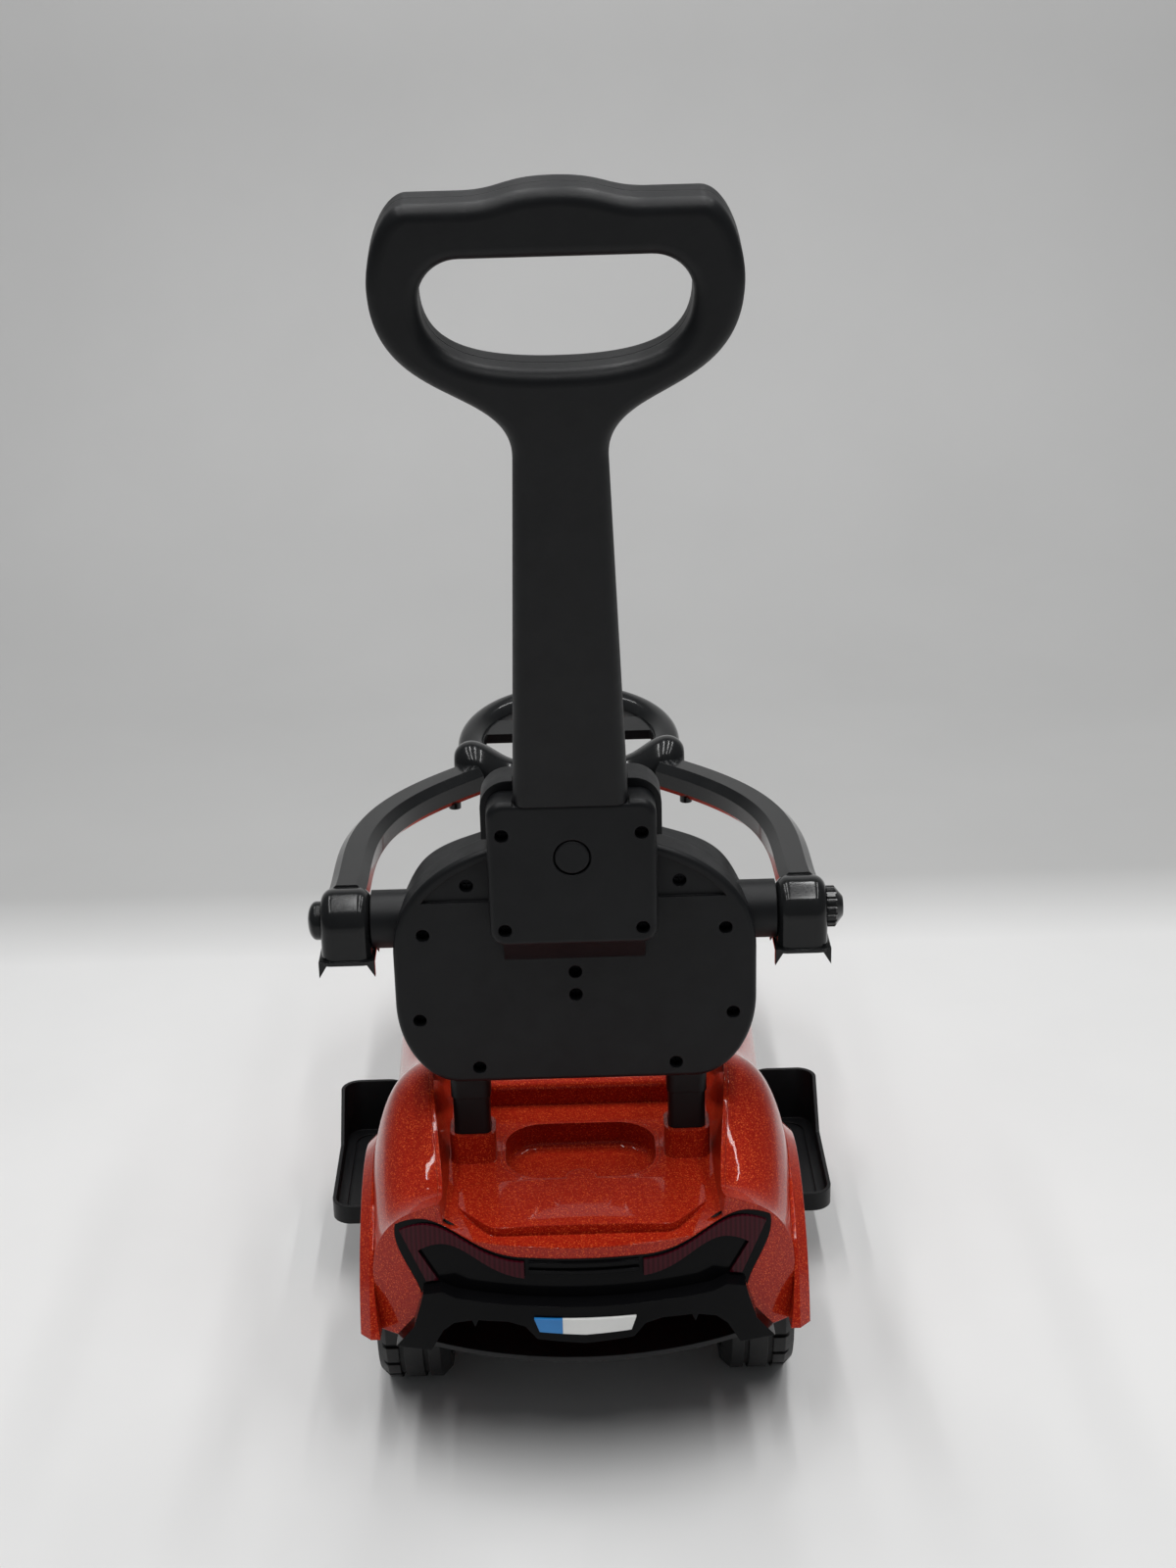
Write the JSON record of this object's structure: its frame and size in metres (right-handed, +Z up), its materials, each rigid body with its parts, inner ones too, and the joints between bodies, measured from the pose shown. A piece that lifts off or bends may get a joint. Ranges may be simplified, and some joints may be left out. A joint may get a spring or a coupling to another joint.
{
  "type": "push car with handle",
  "caption": "Ride-on push car with a moulded sports-car body, a backrest, a plug-in push handle, a lift-up guard, foot trays and working steering.",
  "frame": {"origin": "on the floor, midway between the nose and the back of the grip, on the centre line", "axes": "+Z up, -Y towards the nose, +X the rider's left"},
  "size_m": [0.412, 0.8179, 0.9236],
  "materials": {
    "red_body": "candy red gloss with fine metallic flake",
    "black_underbody": "plain moulded black",
    "gloss_black": "gloss black",
    "red_lens": "dark red smoked lens",
    "clear_lens": "pale grey lens",
    "white_plate": "white",
    "blue_band": "plain blue",
    "matte_black": "matte moulded black with a fine grain",
    "satin_black": "satin black",
    "zinc_steel": "bright zinc",
    "dark_screw": "blackened steel",
    "tyre_black": "hard black plastic tyre",
    "silver_cap": "silver lacquer"
  },
  "bodies": {
    "car": {"body_shell": "red_body", "deck_panel": "red_body", "pocket_tray": "red_body", "underbody": "black_underbody", "rear_fascia": "gloss_black", "rear_bumper": "gloss_black", "number_plate": "white_plate", "plate_band": "blue_band", "front_grille": "gloss_black", "seat_hinge_pin": "zinc_steel", "storage_tub": "black_underbody", "backrest_cover": "matte_black", "backrest_front": "matte_black", "cover_screws": "dark_screw", "socket_box_front": "matte_black", "socket_box_rear": "matte_black", "box_screws": "dark_screw", "column_bush": "matte_black", "rear_axle": "zinc_steel", "tail_light_left": "red_lens", "tail_light_right": "red_lens", "footrest_left": "matte_black", "footrest_right": "matte_black", "backrest_post_left": "matte_black", "backrest_post_right": "matte_black", "guard_stub_left": "matte_black", "guard_stub_right": "matte_black", "kingpin_left": "zinc_steel", "kingpin_right": "zinc_steel", "headlight_left": "clear_lens", "headlight_right": "clear_lens", "rear_arch_flare_left": "red_body", "rear_arch_flare_right": "red_body", "front_arch_flare_left": "red_body", "front_arch_flare_right": "red_body"},
    "handle": {"push_handle": "matte_black"},
    "latch": {"latch_button": "matte_black"},
    "seat": {"seat_lid": "matte_black"},
    "steering": {"steering_wheel": "satin_black", "steering_column": "zinc_steel"},
    "horn": {"horn_button": "satin_black"},
    "tie_link": {"tie_rod": "zinc_steel"},
    "knuckle_left": {"front_knuckle_left": "black_underbody"},
    "knuckle_right": {"front_knuckle_right": "black_underbody"},
    "guard": {"guard_arm_left": "satin_black", "guard_arm_right": "satin_black", "guard_elbow_left": "satin_black", "guard_elbow_right": "satin_black", "guard_coupler": "satin_black", "guard_end_cap": "satin_black", "guard_knob": "satin_black"},
    "rear_left_wheel": {"rear_wheel_left": "tyre_black", "rear_hubcap_left": "silver_cap"},
    "rear_right_wheel": {"rear_wheel_right": "tyre_black", "rear_hubcap_right": "silver_cap"},
    "front_left_wheel": {"front_wheel_left": "tyre_black", "front_hubcap_left": "silver_cap"},
    "front_right_wheel": {"front_wheel_right": "tyre_black", "front_hubcap_right": "silver_cap"}
  },
  "joints": [
    {"name": "handle_pull", "type": "slide", "parent": "car", "child": "handle", "axis": [0, 0.225, 0.9744], "range_m": [0, 0.06]},
    {"name": "latch_press", "type": "slide", "parent": "car", "child": "latch", "axis": [0, -1, 0], "range_m": [0, 0.004], "stiffness_N_per_m": 300},
    {"name": "seat_open", "type": "hinge", "parent": "car", "child": "seat", "pos_m": [0, -0.0145, 0.2029], "axis": [1, 0, 0], "range_deg": [0, 55]},
    {"name": "steering_turn", "type": "hinge", "parent": "car", "child": "steering", "pos_m": [0, -0.13, 0.377], "axis": [0, 0.1392, 0.9903], "range_deg": [-30, 30]},
    {"name": "horn_press", "type": "slide", "parent": "steering", "child": "horn", "axis": [0, -0.1392, -0.9903], "range_m": [0, 0.003], "stiffness_N_per_m": 300},
    {"name": "tie_slide", "type": "slide", "parent": "car", "child": "tie_link", "axis": [1, 0, 0], "range_m": [-0.0252, 0.0252]},
    {"name": "guard_lift", "type": "hinge", "parent": "car", "child": "guard", "pos_m": [0, 0.255, 0.39], "axis": [-1, 0, 0], "range_deg": [0, 88]},
    {"name": "knuckle_left_turn", "type": "hinge", "parent": "car", "child": "knuckle_left", "pos_m": [0.086, -0.226, 0.07], "axis": [0, 0, 1], "range_deg": [-14.2, 14.2]},
    {"name": "rear_left_spin", "type": "hinge", "parent": "car", "child": "rear_left_wheel", "pos_m": [0.13, 0.236, 0.07], "axis": [1, 0, 0], "continuous": true},
    {"name": "front_left_spin", "type": "hinge", "parent": "knuckle_left", "child": "front_left_wheel", "pos_m": [0.123, -0.226, 0.07], "axis": [1, 0, 0], "continuous": true},
    {"name": "knuckle_right_turn", "type": "hinge", "parent": "car", "child": "knuckle_right", "pos_m": [-0.086, -0.226, 0.07], "axis": [0, 0, 1], "range_deg": [-14.2, 14.2]},
    {"name": "rear_right_spin", "type": "hinge", "parent": "car", "child": "rear_right_wheel", "pos_m": [-0.13, 0.236, 0.07], "axis": [1, 0, 0], "continuous": true},
    {"name": "front_right_spin", "type": "hinge", "parent": "knuckle_right", "child": "front_right_wheel", "pos_m": [-0.123, -0.226, 0.07], "axis": [1, 0, 0], "continuous": true}
  ],
  "couplings": [
    {"joint": "tie_slide", "follows": "steering_turn", "m_per_rad": -0.04775},
    {"joint": "knuckle_left_turn", "follows": "steering_turn", "ratio": 0.47},
    {"joint": "knuckle_right_turn", "follows": "steering_turn", "ratio": 0.47}
  ]
}
